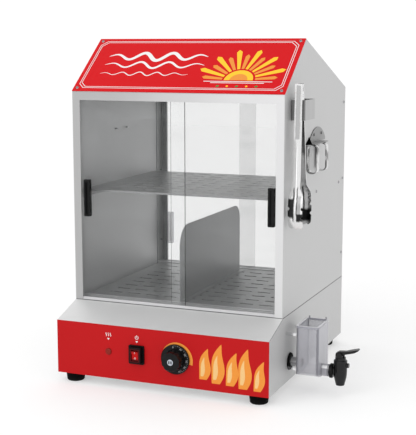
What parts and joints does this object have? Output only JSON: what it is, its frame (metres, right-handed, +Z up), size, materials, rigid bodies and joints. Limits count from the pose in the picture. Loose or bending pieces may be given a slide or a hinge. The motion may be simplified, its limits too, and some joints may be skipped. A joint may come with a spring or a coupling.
{
  "type": "hot dog steamer",
  "caption": "Counter-top hot dog steamer: steam base with dial and drain tap under a glazed gabled cabinet with sliding doors, bread shelf, sausage tray, tongs and hook.",
  "frame": {"origin": "centre of the overall footprint, tap and tongs included, at table level", "axes": "+X to the right seen from the front, +Y to the back, +Z up"},
  "size_m": [0.5386, 0.5006, 0.6242],
  "materials": {
    "satin_steel": "satin, brushed",
    "inner_steel": "satin",
    "bright_steel": "polished",
    "track_aluminium": "satin",
    "plated_steel": "bright zinc",
    "heater_steel": "heat-tinted",
    "red_panel": "semi-gloss enamel",
    "red_sign": "glossy print",
    "black_rubber": "matt",
    "black_plastic": "fine grain",
    "white_plastic": "matt",
    "silver_cap": "spun",
    "red_rocker": "glossy, translucent",
    "amber_lamp": "glossy, translucent",
    "door_glass": "clear",
    "clear_plastic": "clear"
  },
  "bodies": {
    "cabinet": {"base_shell": "satin_steel", "base_plate": "satin_steel", "front_panel": "red_panel", "rubber_feet": "black_rubber", "foot_screws": "plated_steel", "water_tank": "satin_steel", "heating_element": "heater_steel", "element_glands": "plated_steel", "thermostat_body": "plated_steel", "thermostat_probe": "plated_steel", "switch_housing": "black_plastic", "indicator_lamp": "amber_lamp", "terminal_block": "white_plastic", "cable_gland": "black_plastic", "wall_grommet": "black_rubber", "inlet_tube": "plated_steel", "level_box": "clear_plastic", "level_box_pegs": "clear_plastic", "tap_collar": "black_plastic", "tap_body": "black_plastic", "left_side_panel": "satin_steel", "right_side_panel": "satin_steel", "roof_sheet": "satin_steel", "sign_panel": "red_sign", "sign_screws": "plated_steel", "front_header": "satin_steel", "front_stiles": "satin_steel", "front_top_track": "track_aluminium", "front_bottom_track": "track_aluminium", "rear_header": "satin_steel", "rear_stiles": "satin_steel", "rear_top_track": "track_aluminium", "rear_bottom_track": "track_aluminium", "shelf_rails": "inner_steel", "bun_shelf": "inner_steel", "wall_screws": "plated_steel", "tongs_bracket": "bright_steel", "hook_plate": "bright_steel", "hook_loops": "bright_steel", "hook_screws": "plated_steel"},
    "front_left_door": {"front_door_left": "door_glass", "front_handle_left": "black_plastic"},
    "front_right_door": {"front_door_right": "door_glass", "front_handle_right": "black_plastic"},
    "rear_left_door": {"rear_door_left": "door_glass", "rear_handle_left": "clear_plastic"},
    "rear_right_door": {"rear_door_right": "door_glass", "rear_handle_right": "clear_plastic"},
    "knob": {"thermostat_knob": "black_plastic", "knob_cap": "silver_cap", "thermostat_shaft": "plated_steel"},
    "rocker": {"switch_rocker": "red_rocker"},
    "lever": {"tap_lever": "black_plastic"},
    "plunger": {"tap_plunger": "black_plastic"},
    "tray": {"sausage_tray": "inner_steel"},
    "divider": {"tray_divider": "inner_steel"},
    "tongs": {"tongs_pin": "bright_steel", "tongs_spring": "bright_steel"},
    "tongs_left": {"tongs_arm_left": "bright_steel"},
    "tongs_right": {"tongs_arm_right": "bright_steel"}
  },
  "joints": [
    {"name": "front_left_slide", "type": "slide", "parent": "cabinet", "child": "front_left_door", "axis": [1, 0, 0], "range_m": [0, 0.15]},
    {"name": "front_right_slide", "type": "slide", "parent": "cabinet", "child": "front_right_door", "axis": [1, 0, 0], "range_m": [-0.15, 0]},
    {"name": "rear_left_slide", "type": "slide", "parent": "cabinet", "child": "rear_left_door", "axis": [1, 0, 0], "range_m": [0, 0.15]},
    {"name": "rear_right_slide", "type": "slide", "parent": "cabinet", "child": "rear_right_door", "axis": [1, 0, 0], "range_m": [-0.15, 0]},
    {"name": "knob_turn", "type": "hinge", "parent": "cabinet", "child": "knob", "pos_m": [-0.0307, -0.2257, 0.067], "axis": [0, 1, 0], "range_deg": [0, 270]},
    {"name": "rocker_tilt", "type": "hinge", "parent": "cabinet", "child": "rocker", "pos_m": [-0.1063, -0.2287, 0.067], "axis": [1, 0, 0], "range_deg": [-16, 0]},
    {"name": "lever_press", "type": "hinge", "parent": "cabinet", "child": "lever", "pos_m": [0.2363, -0.1112, 0.0735], "axis": [0, 1, 0], "range_deg": [0, 25], "stiffness_Nm_per_rad": 0.5, "springref_deg": -11.46},
    {"name": "plunger_lift", "type": "slide", "parent": "cabinet", "child": "plunger", "axis": [0, 0, 1], "range_m": [0, 0.003]},
    {"name": "tray_lift", "type": "slide", "parent": "cabinet", "child": "tray", "axis": [0, 0, 1], "range_m": [0, 0.02]},
    {"name": "divider_lift", "type": "slide", "parent": "tray", "child": "divider", "axis": [0, 0, 1], "range_m": [0, 0.03]},
    {"name": "tongs_lift", "type": "slide", "parent": "cabinet", "child": "tongs", "axis": [0, 0, 1], "range_m": [0, 0.09]},
    {"name": "tongs_left_swing", "type": "hinge", "parent": "tongs", "child": "tongs_left", "pos_m": [0.1573, -0.1187, 0.5263], "axis": [1, 0, 0], "range_deg": [0, 2.6], "stiffness_Nm_per_rad": 0.1, "springref_deg": -17.19},
    {"name": "tongs_right_swing", "type": "hinge", "parent": "tongs", "child": "tongs_right", "pos_m": [0.1573, -0.1187, 0.5263], "axis": [1, 0, 0], "range_deg": [-7.8, 0]}
  ],
  "couplings": [
    {"joint": "plunger_lift", "follows": "lever_press", "m_per_rad": 0.00687},
    {"joint": "tongs_right_swing", "follows": "tongs_left_swing", "ratio": -3}
  ]
}
